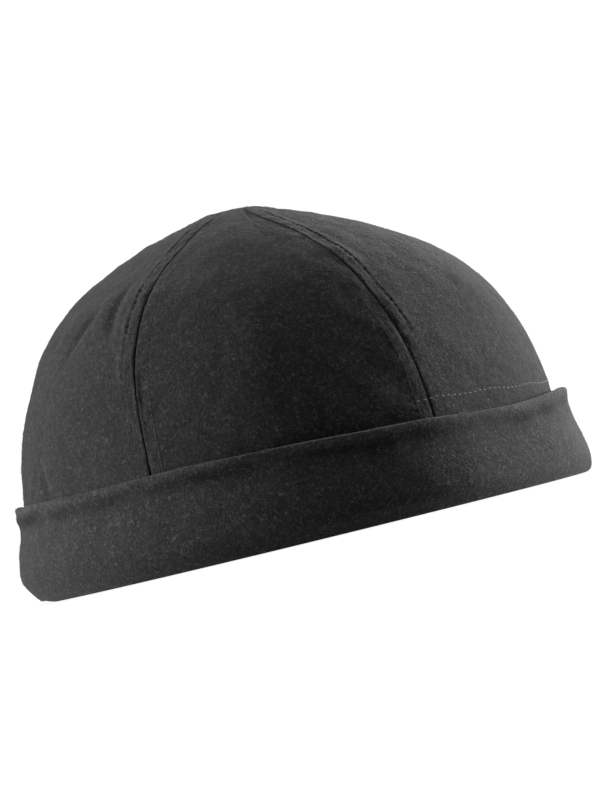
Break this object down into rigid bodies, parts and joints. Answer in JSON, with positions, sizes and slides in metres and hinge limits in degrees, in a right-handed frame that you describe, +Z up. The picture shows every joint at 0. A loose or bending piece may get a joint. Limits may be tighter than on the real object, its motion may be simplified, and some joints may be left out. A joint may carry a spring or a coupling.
{
  "type": "fisherman beanie",
  "caption": "Brimless felt cap sewn from panels that meet at the top, with a tall turned-up cuff round the rim, standing on its cuff.",
  "frame": {"origin": "on the surface the cap stands on, under the middle of the cuff's length and breadth", "axes": "+X toward the wearer's face, +Y to the wearer's left, +Z up through the point of the crown"},
  "size_m": [0.215, 0.1894, 0.1256],
  "materials": {
    "felt_crown": "matte brushed wool felt",
    "felt_cuff": "matte brushed wool felt"
  },
  "bodies": {
    "root": {"crown_panel_1": "felt_crown", "crown_panel_2": "felt_crown", "crown_panel_3": "felt_crown", "crown_panel_4": "felt_crown", "crown_panel_5": "felt_crown", "crown_panel_6": "felt_crown", "cuff": "felt_cuff"}
  },
  "joints": []
}
